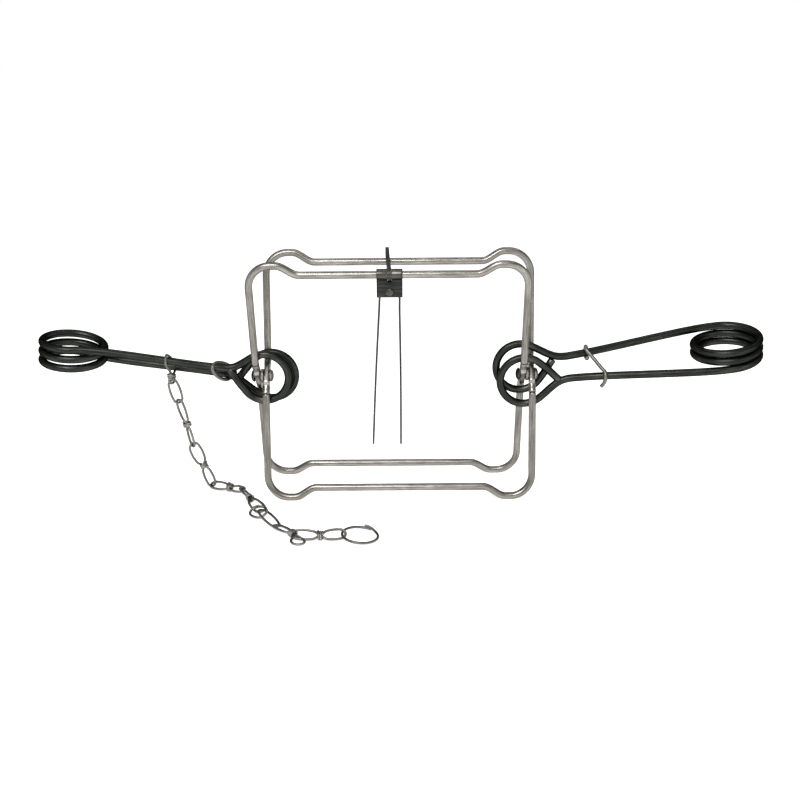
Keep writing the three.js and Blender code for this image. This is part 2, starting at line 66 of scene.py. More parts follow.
def add_camera():
    forward = (CAMERA_AIM - CAMERA_AT).normalized()
    level = forward.cross(UP).normalized()
    rise = level.cross(forward)
    right = level * math.cos(CAMERA_ROLL) + rise * math.sin(CAMERA_ROLL)
    up = rise * math.cos(CAMERA_ROLL) - level * math.sin(CAMERA_ROLL)
    data = bpy.data.cameras.new("camera")
    data.lens = CAMERA_LENS
    data.sensor_width = CAMERA_SENSOR
    camera = bpy.data.objects.new("camera", data)
    turn = Matrix((right, up, -forward)).transposed().to_4x4()
    camera.matrix_world = Matrix.Translation(row(CAMERA_AT)) @ turn
    scene.collection.objects.link(camera)
    scene.camera = camera


add_camera()

# Sizes of the part
ROD_RADIUS = 3.5
SIDE_X = 127
CORNER_HEIGHT = 112.8
CORNER_BUMP = 9.1
STRIKE_HEIGHT = CORNER_HEIGHT - CORNER_BUMP
STRIKE_DEPTH = 31.5
CORNER_RADIUS = 21
PEAK_END = 25
RAMP_END = 47
KINK_DEPTH = 13.4
KINK_HEIGHT = 15
KINK_BLEND = 4
FLAT_THICK = 5.5
FLAT_WIDE = 10.4
FLAT_LENGTH = 17
FLAT_SQUARE_SHARE = 0.4
CREASE_SHARE = 0.86
CREASE_HALF = 0.7
CLEARANCE = 0.3
JAW_SIDES = 24
BEND_STEPS = 20
CORNER_STEPS = 16
WORN_FLAT_MARK = 0.25
WORN_BEND_MARK = 0.3
# Painted shade in the crease at each kink of the jaw rods
CREASE_PAINTED_SHADE = -1.5
# Painted shade on the upright runs of the jaw rods
UPRIGHT_PAINTED_SHADE = -0.16
WASHER_THICK = 2.54
WASHER_RADIUS = 6.5
RIVET_RADIUS = 3
RIVET_HEAD_RADIUS = 6
RIVET_HEAD_HEIGHT = 3.4
RIVET_WOBBLE = 0.02
# Painted highlight on one head of each rivet, painted shade on the other
RIVET_PAINTED_LIGHT = 0.45
WASHER_EASE = 0.4
WASHER_MARK = 0.15
TURNED_SIDES = 40
PIVOT_GAP = FLAT_THICK + WASHER_THICK + 2 * CLEARANCE
FLOOR_Z = -115.8

WIRE_RADIUS = 3.7
COIL_TURNS = 2.5
COIL_STEPS = 24
RING_RADIUS = 22.8
RING_STEPS = 18
KNEE_BLEND_SHARE = 0.2
RING_RUB_MARK = 0.5
RING_RUB_REACH = 9
# Each spring's coil and the two rings that its arms end in, with distances out from the jaws' side
RIGHT_SPRING = {
    "coil": (188.9, 25.31), "coil_radius": 29.89, "pitch": 8.1, "tilt": (0.1148, -0.1287),
    "lead": 0.1627, "pull": 0.19, "ring_plane": 4.3,
    "upper": {"ring": (-6.4, 5.6), "knee": (35.4, 15.7), "short": 14, "dip": 0.22},
    "lower": {"ring": (-2.9, -5.8), "knee": (39.3, -3.9), "short": 11, "dip": 0.2},
}
LEFT_SPRING = {
    "coil": (179.3, 25.84), "coil_radius": 28.4, "pitch": 9.18, "tilt": (-0.0819, -0.1439),
    "lead": 0.3826, "pull": 0.21, "ring_plane": 6.6,
    "upper": {"ring": (-2.8, 0), "knee": (32.5, 9.8), "short": 3, "dip": 0.04},
    "lower": {"ring": (-8.2, -1.6), "knee": (35.4, -0.4), "short": 12, "dip": 0.34},
}

HOOK_RADIUS = 1.8
HOOK_TAIL = 9
HOOK_STEPS = 16
EYE_TURN_SHARE = 0.78
TAIL_TURN_SHARE = 0.03
RING_HOOK_OUT = 41
RING_HOOK_TURN = 0.52
RING_HOOK_STEPS = 27
RING_HOOK_SLIDE = 0.1
RING_HOOK_HIGH = 1.3

BRACKET_X = -3.2
BRACKET_WIDE = 23.4
BRACKET_DROP = 20.4
SHEET_THICK = 1.5
LEAF_GAP = 2.6
SLOT_WIDE = 4
SLOT_DROP = 6.4
BRACKET_RIVET_DROP = 15.6
BRACKET_RIVET_RADIUS = 1.5
BRACKET_HEAD_RADIUS = 3.5
BRACKET_HEAD_HEIGHT = 1.3
TRIGGER_RADIUS = 0.95
TRIGGER_LEG_HALF = 8.6
TRIGGER_CROSS_DROP = 10.6
TRIGGER_BEND = 4.75
TRIGGER_LENGTH = 163
LEFT_SPLAY = 8.6
RIGHT_SPLAY = 0.4
TRIGGER_BOW = 0.5
PLATE_BEVEL = 0.28
BEVEL_ANGLE = math.radians(35)
PRISM_RIM = 1.4
BAR_PLACE = Vector((BRACKET_X, -STRIKE_DEPTH, STRIKE_HEIGHT))

DOG_THICK = 3.6
DOG_WALL = 2.3
DOG_WIDE = 5.2
DOG_TIP = 5.5
DOG_RISE = 9
DOG_SKEW = 0.044

CHAIN_RADIUS = 1.2
TOP_LOOP_ROLL = math.radians(-60)
PLAIN_LOOP_ROLL = math.radians(10)
HELD_LOOP_ROLL = math.radians(-11)
LINK_HALF = 4.4
HANGING_HALF = 5.2
LINK_BITE = 1.45
CLIP_X = 214.7
CLIP_EYE_Z = -4
CLIP_EYE_RADIUS = 3.2
RING_WIRE_RADIUS = 1.2
END_RING_RADIUS = 16
LIE_HEIGHT = -111.5
WAIST = 1.1
WRAP_TURNS = 2.3
WRAP_PITCH = 1.95
WRAP_TURN_STEPS = 14
CHAIN_SIDES = 12
CHAIN_SPOTS = [
    (-214.7, 0, -5.75), (-209.5, 0, -25.3), (-203.3, 0, -49.5), (-199.2, 0, -71), (-189.9, 0, -92.8),
    (-181.9, -3.8, LIE_HEIGHT), (-163.5, -11.6, LIE_HEIGHT), (-149.7, -17.9, LIE_HEIGHT),
    (-140.2, -37.5, LIE_HEIGHT), (-124.7, -67, LIE_HEIGHT), (-107.4, -99.9, LIE_HEIGHT),
    (-89, -117.6, LIE_HEIGHT), (-65.7, -120.8, LIE_HEIGHT), (-45.1, -117, LIE_HEIGHT),
]
# The folded clip's line, from the ninth loop's end
FOLDED_CLIP = [
    (-2.5, 3.5, 3.6), (-8.5, 2.5, 1.6), (-11, -1.5, -2), (-6, -8, -2.6), (1, -11, -1.6), (5.5, -6, 1.5),
    (3.5, -1, 3.6), (-3, -0.5, 4.2), (-7.5, -3.5, 3.4),
]

# Levels of light
FLOOR_GLOW = 0.72
FLOOR_REACH = 40
WORLD_LEVEL = 0.36
CEILING_LEVEL = 0.3
CEILING_START = 0.15
CEILING_FULL = 0.5
LAMP_AIM = (0, 0, 0.1)

# Noise patterns of the steels: how finely each runs along the wire and in the two ways across it
STREAK_STRETCH = (0.045, 1.5, 1.5)
DRAWN_STRETCH = (0.15, 6.0, 6.0)
BLOTCH_STRETCH = (0.05, 0.16, 0.16)
GRAIN_STRETCH = (3.0, 5.5, 5.5)
PIT_STRETCH = (0.9, 1.3, 1.3)
STAIN_SHARE = 0.85
DARK_MARK_SHARE = 0.25
RELIEF = 0.03


# Node trees of the materials
class Look:
    """A material under way, with short calls for the nodes that the steels share."""

    def __init__(self, name):
        self.material = bpy.data.materials.new(name)
        self.material.use_nodes = True
        tree = self.material.node_tree
        self.nodes = tree.nodes
        self.links = tree.links
        self.shader = tree.nodes["Principled BSDF"]
        self.lay = self.put("Attribute", attribute_name="lay").outputs["Vector"]
        self.mark = self.put("Attribute", attribute_name="mark").outputs["Fac"]

    def put(self, kind, inputs=None, **settings):
        node = self.nodes.new("ShaderNode" + kind)
        for key, value in settings.items():
            setattr(node, key, value)
        for key, value in (inputs or {}).items():
            self.give(node.inputs[key], value)
        return node

    def give(self, socket, value):
        if isinstance(value, bpy.types.NodeSocket):
            self.links.new(value, socket)
        else:
            socket.default_value = value

    def noise(self, stretch, detail=3.0, rough=0.55):
        """Noise on the wire's own lay: along it, then across it."""
        scaled = self.put("VectorMath", {0: self.lay, 1: stretch}, operation="MULTIPLY")
        return self.put("TexNoise", {
            "Vector": scaled.outputs[0], "Scale": 1.0, "Detail": detail, "Roughness": rough,
        }).outputs["Fac"]

    def spread(self, value, low, high, to_low=0.0, to_high=1.0):
        """The value's run from low to high, stretched to another run and held inside it."""
        return self.put("MapRange", {
            "Value": value, "From Min": low, "From Max": high, "To Min": to_low, "To Max": to_high,
        }, clamp=True).outputs["Result"]

    def sum(self, a, b, operation="ADD"):
        return self.put("Math", {0: a, 1: b}, operation=operation).outputs[0]

    def mix(self, share, a, b):
        return self.put("Mix", {0: share, 6: a, 7: b}, data_type="RGBA").outputs[2]


def steel(name, deep, body, worn_and_highlight_tone, rust, rough, edge=0.4, wear=0.5):
    """Worn steel: streaks along the wire, blotches, worn edges, rust in pits, fine grain; positive marks
    lighten worn spots and painted highlights, negative marks darken, most of them painted shade.
    """
    look = Look(name)
    streaks = look.noise(STREAK_STRETCH, 5.0, 0.62)
    drawn = look.noise(DRAWN_STRETCH)
    blotch = look.noise(BLOTCH_STRETCH)
    grain = look.noise(GRAIN_STRETCH, 4.0, 0.65)
    pits = look.spread(look.noise(PIT_STRETCH, 4.0, 0.7), 0.6, 0.7)
    point = look.put("NewGeometry").outputs["Pointiness"]
    color = look.mix(look.spread(streaks, 0.36, 0.6), (*deep, 1), (*body, 1))
    lit = look.sum(look.spread(blotch, 0.45, 0.68), look.spread(drawn, 0.4, 0.7), "MULTIPLY")
    # Worn spots and painted highlights, both lightened towards the light tone.
    worn_and_highlight_share = look.sum(look.sum(lit, wear, "MULTIPLY"), look.spread(look.mark, 0.0, 1.0))
    worn_and_highlight_share = look.sum(worn_and_highlight_share, look.spread(point, 0.53, 0.62))
    color = look.mix(look.spread(worn_and_highlight_share, 0.0, 1.0), color, (*worn_and_highlight_tone, 1))
    stain = look.sum(look.spread(blotch, 0.55, 0.38), pits, "MULTIPLY")
    color = look.mix(look.sum(stain, STAIN_SHARE, "MULTIPLY"), color, (*rust, 1))
    # Negative marks darken towards the darkest tone: painted shade in the jaw creases, on upright runs, on
    # one head of each rivet and on the dog's collar; the bracket's edges and the dog's tip too.
    darkest = [c * DARK_MARK_SHARE for c in deep]
    color = look.mix(look.spread(look.mark, 0.0, -1.0), color, (*darkest, 1))
    look.give(look.shader.inputs["Base Color"], color)
    rather = look.sum(look.sum(streaks, grain), look.sum(pits, 0.4, "MULTIPLY"))
    look.give(look.shader.inputs["Roughness"], look.spread(rather, 0.7, 1.5, *rough))
    look.shader.inputs["Metallic"].default_value = 1.0
    look.shader.inputs["Specular Tint"].default_value = (edge, edge, edge, 1)
    height = look.sum(look.sum(drawn, 0.5, "MULTIPLY"), look.sum(grain, 0.7, "MULTIPLY"))
    height = look.sum(height, look.sum(pits, 0.8, "MULTIPLY"), "SUBTRACT")
    bump = look.put("Bump", {"Strength": 0.8, "Distance": RELIEF * MM, "Height": height})
    look.give(look.shader.inputs["Normal"], bump.outputs["Normal"])
    return look.material


JAW_STEEL = steel(
    "jaw_steel_worn_and_painted_shade", (0.115, 0.107, 0.093), (0.29, 0.275, 0.25), (0.6, 0.58, 0.545), (0.13, 0.095, 0.065),
    rough=(0.28, 0.44), wear=0.62,
)
SPRING_STEEL = steel(
    "spring_steel_dark", (0.011, 0.0125, 0.011), (0.038, 0.041, 0.036), (0.13, 0.128, 0.11),
    (0.05, 0.04, 0.026), rough=(0.3, 0.48), edge=0.25, wear=0.4,
)
PALE_STEEL = steel(
    "pale_steel_worn_and_painted_light", (0.045, 0.042, 0.037), (0.16, 0.152, 0.138), (0.46, 0.45, 0.42), (0.1, 0.075, 0.05),
    rough=(0.36, 0.58),
)
RIVET_STEEL = steel(
    "rivet_steel_worn_and_painted_light", (0.035, 0.032, 0.028), (0.11, 0.1, 0.09), (0.38, 0.36, 0.33), (0.08, 0.05, 0.032),
    rough=(0.38, 0.62),
)


# Lines and wires
def arc(centre, radius, start, stop, steps, u, v):
    points = []
    for i in range(steps + 1):
        turn = start + (stop - start) * i / steps
        points.append(centre + u * (radius * math.cos(turn)) + v * (radius * math.sin(turn)))
    return points


def bezier(a, b, c, d, t):
    s = 1 - t
    return a * s ** 3 + b * (3 * s * s * t) + c * (3 * s * t * t) + d * t ** 3


def smooth_run(start, start_way, stop, stop_way, steps, pull=0.36):
    reach = (stop - start).length * pull
    inner = (start + start_way * reach, stop - stop_way * reach)
    return [bezier(start, *inner, stop, i / steps) for i in range(1, steps)]


def through(points, closes=False, cuts=4):
    """A smooth line through all the points, with that many steps from each to the next."""
    count = len(points)
    ways = []
    for i in range(count):
        back = points[i] - points[i - 1] if closes or i else points[1] - points[0]
        ahead = points[(i + 1) % count] - points[i] if closes or i < count - 1 else back
        near = max(back.length, 1e-6)
        far = max(ahead.length, 1e-6)
        ways.append((back * (far / near) + ahead * (near / far)) / (near + far))
    line = []
    for i in range(count if closes else count - 1):
        a = points[i]
        b = points[(i + 1) % count]
        span = (b - a).length
        for step in range(cuts):
            t = step / cuts
            line.append(
                a * (2 * t ** 3 - 3 * t * t + 1) + ways[i] * (span * (t ** 3 - 2 * t * t + t))
                + b * (3 * t * t - 2 * t ** 3) + ways[(i + 1) % count] * (span * (t ** 3 - t * t))
            )
    if not closes:
        line.append(points[-1].copy())
    return line


def frames(path, start, closes):
    """At each point the way along, and two ways across that turn as little as they can."""
    count = len(path)
    found = []
    carried = Vector(start)
    for i, _ in enumerate(path):
        before = path[i - 1] if closes or i else path[0]
        after = path[(i + 1) % count] if closes or i < count - 1 else path[-1]
        along = (after - before).normalized()
        carried = (carried - along * carried.dot(along)).normalized()
        found.append((along, carried.copy(), along.cross(carried)))
    if closes:
        along, first, side = found[0]
        carried = (carried - along * carried.dot(along)).normalized()
        twist = math.atan2(carried.dot(side), carried.dot(first))
        for i, (along, a, b) in enumerate(found):
            back = -twist * i / count
            found[i] = (
                along,
                a * math.cos(back) + b * math.sin(back),
                b * math.cos(back) - a * math.sin(back),
            )
    return found


def skin(rings, closes, lays, marks):
    """Mesh data of a row of rings of equal length, with a flat cap on each open end."""
    sides = len(rings[0])
    points = [p for ring in rings for p in ring]
    faces = []
    for i in range(len(rings) if closes else len(rings) - 1):
        n = (i + 1) % len(rings)
        for j in range(sides):
            k = (j + 1) % sides
            faces.append((i * sides + j, i * sides + k, n * sides + k, n * sides + j))
    if not closes:
        last = (len(rings) - 1) * sides
        faces.append(tuple(range(sides)))
        faces.append(tuple(last + j for j in range(sides)))
    flat_marks = [m for m in marks for _ in range(sides)]
    return points, faces, [v for ring in lays for v in ring], flat_marks


def wire(path, radius, start=AWAY, closes=False, sides=16, cut=0.35, marking=None):
    """Round wire along the path; an open one has its ends cut square and eased."""
    path = [p.copy() for p in path]
    radii = [radius] * len(path)
    if not closes:
        for end, inward in ((0, 1), (-1, -2)):
            way = (path[inward] - path[end]).normalized() * cut
            path.insert(1 if end == 0 else len(path) - 1, path[end] + way)
        radii = [radius - cut] + [radius] * (len(path) - 2) + [radius - cut]
    reach = 0
    rings = []
    lays = []
    marks = []
    for i, (_, a, b) in enumerate(frames(path, start, closes)):
        if i:
            reach += (path[i] - path[i - 1]).length
        ring = []
        lay = []
        for j in range(sides):
            turn = TURN * j / sides
            c = radii[i] * math.cos(turn)
            s = radii[i] * math.sin(turn)
            ring.append(path[i] + a * c + b * s)
            lay.append((reach, c, s))
        rings.append(ring)
        lays.append(lay)
        marks.append(marking(path[i]) if marking else 0)
    return skin(rings, closes, lays, marks)


def joined(*bodies):
    """The mesh data of several bodies as one."""
    points, faces, lays, marks = [], [], [], []
    for body in bodies:
        base = len(points)
        points += body[0]
        faces += [tuple(base + i for i in face) for face in body[1]]
        lays += body[2]
        marks += body[3]
    return points, faces, lays, marks


def piece(name, body, finish, rides, nodes, place=AS_IS, crisp=40, floor=False):
    """Makes the mesh, parents it to the body it rides on and hides the model's nodes that it stands for.
    """
    points, faces, lays, marks = body
    spots = [place @ Vector(p) for p in points]
    if floor:
        spots = [Vector((p.x, p.y, max(p.z, FLOOR_Z))) for p in spots]
    mesh = bpy.data.meshes.new(name)
    mesh.from_pydata([row(p) for p in spots], [], faces)
    mesh.attributes.new("lay", "FLOAT_VECTOR", "POINT").data.foreach_set(
        "vector", [c for lay in lays for c in lay]
    )
    mesh.attributes.new("mark", "FLOAT", "POINT").data.foreach_set("value", marks)
    worked = bmesh.new()
    worked.from_mesh(mesh)
    bmesh.ops.recalc_face_normals(worked, faces=worked.faces)
    worked.to_mesh(mesh)
    worked.free()
    mesh.shade_smooth()
    mesh.set_sharp_from_angle(angle=math.radians(crisp))
    mesh.materials.append(finish[0])
    made = bpy.data.objects.new(name, mesh)
    scene.collection.objects.link(made)
    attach(made, rides)
    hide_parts(*nodes)


JAW = (JAW_STEEL, "jaw_steel")
SPRING = (SPRING_STEEL, "spring_steel")
PALE = (PALE_STEEL, "pale_steel")
RIVET = (RIVET_STEEL, "rivet_steel")


# Jaws
def eased(share):
    share = min(max(share, 0), 1)
    return share * share * (3 - 2 * share)


def depth_at(z):
    return KINK_DEPTH + (z - KINK_HEIGHT) * (STRIKE_DEPTH - KINK_DEPTH) / (STRIKE_HEIGHT - KINK_HEIGHT)


def jaw_quarter():
    """From the pivot's flat round the corner to the strike bar: place, half sizes, squareness, mark."""
    tilt = math.atan2(KINK_DEPTH, KINK_HEIGHT)
    reach = math.hypot(KINK_DEPTH, KINK_HEIGHT)
    flat_end = FLAT_LENGTH / 2
    stations = []

    def on_flat(t):
        return Vector((SIDE_X, -t * math.sin(tilt), t * math.cos(tilt)))

    def on_side(z):
        return Vector((SIDE_X, -depth_at(z), z))

    def add(p, share=1.0, scale=1.0, mark=0.0):
        wide = FLAT_WIDE / 2 + (ROD_RADIUS - FLAT_WIDE / 2) * share
        thick = FLAT_THICK / 2 + (ROD_RADIUS - FLAT_THICK / 2) * share
        power = FLAT_SQUARE_SHARE + (1 - FLAT_SQUARE_SHARE) * share
        stations.append((p, wide * scale, thick * scale, power, mark))

    for i in range(6):
        add(on_flat(flat_end * i / 5), 0, mark=WORN_FLAT_MARK)
    for i in range(1, 7):
        add(on_flat(flat_end + ROD_RADIUS * i / 6), eased(i / 6), mark=WORN_BEND_MARK)
    bend_start = on_flat(reach - KINK_BLEND)
    corner = on_flat(reach)
    bend_stop = on_side(KINK_HEIGHT + KINK_BLEND)
    for i in range(BEND_STEPS + 1):
        t = i / BEND_STEPS
        p = bend_start * (1 - t) ** 2 + corner * (2 * t * (1 - t)) + bend_stop * t * t
        away = abs(p.z - corner.z) / CREASE_HALF
        crease = max(0, 1 - away)
        # Painted shade darkens the crease at the kink, where the rod also narrows.
        mark = WORN_BEND_MARK * (1 - t) + CREASE_PAINTED_SHADE * crease
        add(p, scale=1 - (1 - CREASE_SHARE) * eased(crease), mark=mark)
    arc_z = CORNER_HEIGHT - CORNER_RADIUS
    for i in range(1, 8):
        add(on_side(bend_stop.z + (arc_z - bend_stop.z) * i / 8))
    for i in range(CORNER_STEPS + 1):
        turn = TURN / 4 * i / CORNER_STEPS
        z = arc_z + CORNER_RADIUS * math.sin(turn)
        add(Vector((SIDE_X - CORNER_RADIUS + CORNER_RADIUS * math.cos(turn), -depth_at(z), z)))
    for i in range(CORNER_STEPS + 1):
        run = i / CORNER_STEPS
        z = CORNER_HEIGHT - CORNER_BUMP * (1 - math.cos(math.pi * run)) / 2
        add(Vector((SIDE_X - PEAK_END - (RAMP_END - PEAK_END) * run, -depth_at(z), z)))
    last = stations[-1][0]
    for i in range(1, 6):
        add(Vector((last.x * (1 - i / 6), last.y, last.z)))
    return stations


def jaw_body():
    """The jaw's closed rod: four mirrored quarters, flat and wide at the pivots, round elsewhere."""
    quarter = jaw_quarter()

    def placed(sx, sz):
        return [(Vector((p.x * sx, p.y * sz, p.z * sz)), *rest) for p, *rest in quarter]

    stations = [
        *placed(1, 1), *placed(-1, 1)[::-1], *placed(-1, -1)[1:], *placed(1, -1)[::-1][:-1],
    ]
    plane = Vector((0, STRIKE_HEIGHT - KINK_HEIGHT, STRIKE_DEPTH - KINK_DEPTH)).normalized()
    count = len(stations)
    reach = 0
    rings, lays, marks = [], [], []
    for i, (p, wide_half, thick_half, power, mark) in enumerate(stations):
        along = (stations[(i + 1) % count][0] - stations[i - 1][0]).normalized()
        wide = (plane - along * plane.dot(along)).normalized()
        thick = along.cross(wide)
        if i:
            reach += (p - stations[i - 1][0]).length
        ring, lay = [], []
        for j in range(JAW_SIDES):
            c = math.cos(TURN * j / JAW_SIDES)
            s = math.sin(TURN * j / JAW_SIDES)
            x = thick_half * math.copysign(abs(c) ** power, c)
            y = wide_half * math.copysign(abs(s) ** power, s)
            ring.append(p + thick * x + wide * y)
            lay.append((reach, x, y))
        rings.append(ring)
        lays.append(lay)
        # Painted shade, stronger the more upright the rod runs.
        marks.append(mark + UPRIGHT_PAINTED_SHADE * abs(along.z) ** 2)
    return skin(rings, True, lays, marks)


FRONT_PLACE = Matrix.Translation((-PIVOT_GAP / 2, 0, 0))
REAR_PLACE = Matrix.Translation((PIVOT_GAP / 2, 0, 0)) @ HALF_TURN
piece("front_jaw_rod", jaw_body(), JAW, "front_jaw", ["jaw_front"], place=FRONT_PLACE, floor=True)
piece("rear_jaw_rod", jaw_body(), JAW, "rear_jaw", ["jaw_rear"], place=REAR_PLACE, floor=True)


# Rivets and washers
def turned(profile, across_x, centre):
    """A body turned about X, or about Y, from a profile of (along, radius), a little out of round."""
    axis, u, v = (RIGHT, AWAY, UP) if across_x else (AWAY, RIGHT, UP)
    rings, lays = [], []
    for k, (along, radius) in enumerate(profile):
        ring, lay = [], []
        for j in range(TURNED_SIDES):
            turn = TURN * j / TURNED_SIDES
            r = radius * (1 + RIVET_WOBBLE * math.sin(3 * turn + k) * math.sin(2 * turn))
            ring.append(centre + axis * along + u * (r * math.cos(turn)) + v * (r * math.sin(turn)))
            lay.append((along * 3, r * math.cos(turn), r * math.sin(turn)))
        rings.append(ring)
        lays.append(lay)
    # Painted highlight on the head at the axis's plus end, painted shade on the head at its minus end.
    marks = [RIVET_PAINTED_LIGHT if along > 0 else -RIVET_PAINTED_LIGHT for along, _ in profile]
    return skin(rings, False, lays, marks)


def dome(grip, shank, head, height, dimple):
    """Half a rivet's profile: a domed head, dimpled if asked, with an eased rim on a shank."""
    steps = 8
    rounds = []
    for i in range(steps):
        turn = TURN / 4 * i / steps
        rise = 0.3 + 0.7 * math.cos(turn) - (dimple if i < 2 else 0)
        rounds.append((grip / 2 + height * rise, head * (0.04 + 0.9 * math.sin(turn))))
    rim = [
        (grip / 2 + height * 0.32, head * 0.95), (grip / 2 + height * 0.2, head),
        (grip / 2 + height * 0.08, head), (grip / 2, head * 0.95),
    ]
    return [*rounds, *rim, (grip / 2, shank)]


def rivet_body(grip, shank, head, height, across_x, centre, dimple=0.0):
    half = dome(grip, shank, head, height, dimple)
    other = [(-along, radius) for along, radius in half[::-1]]
    return turned([*half, *other], across_x, centre)


def washer_body(centre):
    inner = RIVET_RADIUS + CLEARANCE
    half = WASHER_THICK / 2
    edge = WASHER_RADIUS - WASHER_EASE
    lip = inner + WASHER_EASE
    rim = half - WASHER_EASE
    profile = [
        (-rim, inner), (-half, lip), (-half, edge), (-rim, WASHER_RADIUS),
        (rim, WASHER_RADIUS), (half, edge), (half, lip), (rim, inner),
    ]
    rings, lays = [], []
    for j in range(TURNED_SIDES):
        turn = TURN * j / TURNED_SIDES
        out = AWAY * math.cos(turn) + UP * math.sin(turn)
        rings.append([centre + RIGHT * along + out * radius for along, radius in profile])
        lays.append([(along * 3, *(out * radius).yz) for along, radius in profile])
    return skin(rings, True, lays, [WASHER_MARK] * TURNED_SIDES)


for label, side in (("left", -1), ("right", 1)):
    middle = Vector((side * SIDE_X, 0, 0))
    grip = PIVOT_GAP + FLAT_THICK + 2 * CLEARANCE
    head = rivet_body(grip, RIVET_RADIUS, RIVET_HEAD_RADIUS, RIVET_HEAD_HEIGHT, True, middle)
    piece(f"{label}_pivot_rivet", head, RIVET, "rear_jaw", [f"pivot_rivet_{label}"])
    piece(f"{label}_pivot_washer", washer_body(middle), RIVET, "rear_jaw", [f"pivot_washer_{label}"])


# Springs
def spring_line(s):
    """The centre line of a spring seen as the right one: upper arm behind, lower arm in front."""
    tilt = Matrix.Rotation(s["tilt"][1], 3, "Y") @ Matrix.Rotation(s["tilt"][0], 3, "X")
    middle = Vector((SIDE_X + s["coil"][0], 0, s["coil"][1]))
    steps = round(COIL_TURNS * COIL_STEPS)
    whole = TURN * COIL_TURNS
    coil = []
    for i in range(steps + 1):
        turn = (whole + 2 * s["lead"]) * i / steps - s["lead"]
        z = s["pitch"] * (COIL_TURNS / 2 - turn / TURN)
        out = Vector((math.sin(turn), math.cos(turn), 0))
        coil.append(middle + tilt @ out * s["coil_radius"] + tilt @ UP * z)
    runs = []
    ends = ((coil[0], coil[1] - coil[0]), (coil[-1], coil[-2] - coil[-1]))
    for rise, key, (end, end_way) in ((1, "upper", ends[0]), (-1, "lower", ends[1])):
        arm = s[key]
        y = rise * s["ring_plane"]
        centre = Vector((SIDE_X + arm["ring"][0], y, arm["ring"][1]))
        knee = Vector((SIDE_X + arm["knee"][0], y, arm["knee"][1]))
        apex = math.acos(RING_RADIUS / (knee - centre).length)
        leave = math.atan2(knee.z - centre.z, knee.x - centre.x) + rise * apex
        sweep = 2 * (math.pi - apex) + arm["dip"]
        ring = arc(centre, RING_RADIUS, leave + rise * sweep, leave, RING_STEPS, RIGHT, UP)
        start_turn = leave + rise * sweep
        free_way = RIGHT * -math.sin(start_turn) + UP * math.cos(start_turn)
        free_end = ring[0] + free_way * (rise * ((knee - ring[-1]).length - arm["short"]))
        leave_way = (knee - ring[-1]).normalized()
        knee_way = ((end - knee).normalized() + leave_way * KNEE_BLEND_SHARE).normalized()
        runs.append([
            free_end, *ring, *smooth_run(ring[-1], leave_way, knee, knee_way, 5), knee,
            *smooth_run(knee, knee_way, end, end_way.normalized(), 10, s["pull"]),
        ])
    return [*runs[0], *coil, *runs[1][::-1]]


def spring_mark(p):
    """Rubbed steel where the rings turn on the jaws."""
    near = max(0, 1 - abs(p.x - SIDE_X) / RING_RUB_REACH)
    return RING_RUB_MARK * near if abs(p.z) > RING_RADIUS / 2 else 0


spring_lines = {"right": spring_line(RIGHT_SPRING), "left": spring_line(LEFT_SPRING)}
places = {"right": AS_IS, "left": HALF_TURN}
for label, line in spring_lines.items():
    body = wire(through(line), WIRE_RADIUS, sides=20, cut=0.7, marking=spring_mark)
    piece(f"{label}_spring_wire", body, SPRING, f"{label}_spring", [f"spring_{label}"],
          place=places[label], crisp=50)


# Safety hooks
def arm_at(line, x, upper):
    """The point of a spring's upper or lower arm at that x."""
    run = line if upper else line[::-1]
    start = next(i for i in range(RING_STEPS + 3, len(run)) if run[i].x <= x < run[i + 1].x)
    return run[start].lerp(run[start + 1], (x - run[start].x) / (run[start + 1].x - run[start].x))


def hook_line(line, eye_out, over_out, upper_eye, towards, tail_way):
    """Round one arm in an eye, straight across, over the other arm and out in a short tail."""
    eye = arm_at(line, SIDE_X + eye_out, upper_eye)
    over = arm_at(line, SIDE_X + over_out, not upper_eye)
    back = arm_at(line, SIDE_X + eye_out + HOOK_RADIUS, upper_eye) - eye
    out = AWAY * towards
    loop = WIRE_RADIUS + HOOK_RADIUS + 2 * CLEARANCE
    touch = TURN / 4 + math.atan2(over.z - eye.z, (over.y - eye.y) * towards)
    round_eye = arc(eye, loop, touch + TURN * EYE_TURN_SHARE, touch, HOOK_STEPS, out, UP)
    round_eye = [p + back * (1 - i / HOOK_STEPS) for i, p in enumerate(round_eye)]
    round_arm = arc(over, loop, touch, -TURN * TAIL_TURN_SHARE, 7, out, UP)
    tail = [round_arm[-1] + tail_way(share) * HOOK_TAIL for share in (0.35, 0.7, 1)]
    shank = [round_eye[-1].lerp(round_arm[0], share) for share in (0.2, 0.5, 0.8)]
    return [*round_eye, *shank, *round_arm, *tail]


def right_tail(share):
    return Vector((-0.42 * share ** 2, 0.1 * share ** 2, -0.9 * share))


def ring_hook_line(line):
    """The left hook lies shut round both arms, turned half towards the front, its end curled over."""
    above, below = (arm_at(line, SIDE_X + RING_HOOK_OUT, upper) for upper in (True, False))
    middle = (above + below) / 2 - UP * CLEARANCE * 3
    between = Vector((0, above.y - below.y, above.z - below.z))
    side = between.normalized()
    out = side * math.cos(RING_HOOK_TURN) + RIGHT * math.sin(RING_HOOK_TURN)
    high_way = RIGHT.cross(side)
    reach = WIRE_RADIUS + HOOK_RADIUS + CLEARANCE
    wide = between.length / 2 + reach
    points = []
    for i in range(RING_HOOK_STEPS + 1):
        turn = TURN * (0.3 + 1.15 * i / RING_HOOK_STEPS)
        spare = 1 + 0.2 * eased((i - RING_HOOK_STEPS * 0.75) / 7)
        slide = RIGHT * (-RING_HOOK_SLIDE * HOOK_RADIUS * i)
        off = out * (wide * math.cos(turn)) + high_way * (RING_HOOK_HIGH * reach * math.sin(turn))
        points.append(middle + slide + off * spare)
    return points


